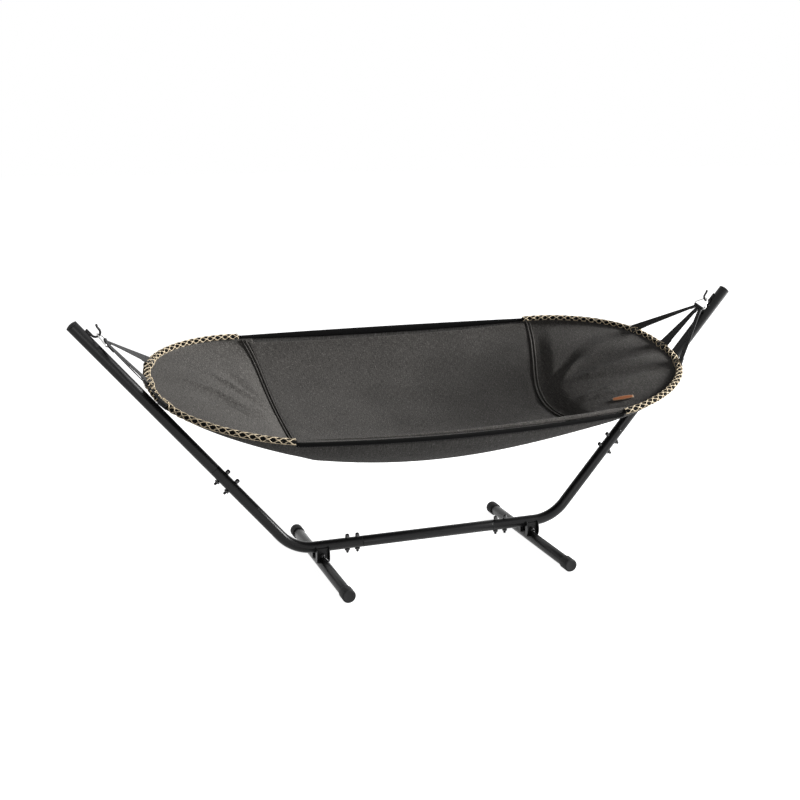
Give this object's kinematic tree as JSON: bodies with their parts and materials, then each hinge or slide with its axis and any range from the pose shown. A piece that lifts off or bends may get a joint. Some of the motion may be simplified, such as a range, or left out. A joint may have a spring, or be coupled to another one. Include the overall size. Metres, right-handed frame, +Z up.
{
  "type": "cat hammock",
  "caption": "Free-standing pet hammock: a cloth bed on two laced bows, hung by webbing straps and rings from the hooks of a bolted tube stand.",
  "frame": {"origin": "on the floor, under the middle of the object's bounding box", "axes": "+X from the left post to the right post, +Y to the back, +Z up"},
  "size_m": [0.9786, 0.3539, 0.3709],
  "materials": {
    "powder_coat": "satin black powder coat on steel tube and pressings",
    "cap_plastic": "matte black moulded plastic",
    "bolt_steel": "blackened steel",
    "ring_steel": "bright plated wire",
    "webbing": "woven black webbing",
    "binding": "black bound cloth edge",
    "cord": "twisted natural cord",
    "outer_cloth": "dark grey woven cloth",
    "inner_cloth": "mid grey melange cloth, padded",
    "label": "bare orange-brown tab, matte"
  },
  "bodies": {
    "stand": {"base_tube": "powder_coat", "bend_left": "powder_coat", "bend_right": "powder_coat", "bolt_base_left_1": "bolt_steel", "bolt_base_left_2": "bolt_steel", "bolt_base_right_1": "bolt_steel", "bolt_base_right_2": "bolt_steel", "bolt_post_left_1": "bolt_steel", "bolt_post_left_2": "bolt_steel", "bolt_post_right_1": "bolt_steel", "bolt_post_right_2": "bolt_steel", "bolt_saddle_left": "bolt_steel", "bolt_saddle_right": "bolt_steel", "foot_cap_left_back": "cap_plastic", "foot_cap_left_front": "cap_plastic", "foot_cap_right_back": "cap_plastic", "foot_cap_right_front": "cap_plastic", "foot_left": "powder_coat", "foot_right": "powder_coat", "hook_left": "powder_coat", "hook_right": "powder_coat", "nut_base_left_1": "bolt_steel", "nut_base_left_2": "bolt_steel", "nut_base_right_1": "bolt_steel", "nut_base_right_2": "bolt_steel", "nut_post_left_1": "bolt_steel", "nut_post_left_2": "bolt_steel", "nut_post_right_1": "bolt_steel", "nut_post_right_2": "bolt_steel", "nut_saddle_left": "bolt_steel", "nut_saddle_right": "bolt_steel", "post_cap_left": "cap_plastic", "post_cap_right": "cap_plastic", "post_left": "powder_coat", "post_right": "powder_coat", "saddle_left_back": "powder_coat", "saddle_left_front": "powder_coat", "saddle_right_back": "powder_coat", "saddle_right_front": "powder_coat"},
    "bed": {"bow_left": "binding", "bow_right": "binding", "cloth_left": "outer_cloth", "cloth_middle": "outer_cloth", "cloth_right": "outer_cloth", "hem_back": "binding", "hem_front": "binding", "inner_panel": "inner_cloth", "label_tab": "label", "lacing_left": "cord", "lacing_right": "cord", "ring_left": "ring_steel", "ring_right": "ring_steel", "strap_left_back": "webbing", "strap_left_front": "webbing", "strap_left_middle": "webbing", "strap_right_back": "webbing", "strap_right_front": "webbing", "strap_right_middle": "webbing", "welt_left": "inner_cloth", "welt_right": "inner_cloth"}
  },
  "joints": [
    {"name": "bed_swing", "type": "hinge", "parent": "stand", "child": "bed", "pos_m": [0, -0.0215, 0.35089], "axis": [1, 0, 0], "range_deg": [-33.1, 6.9]}
  ]
}
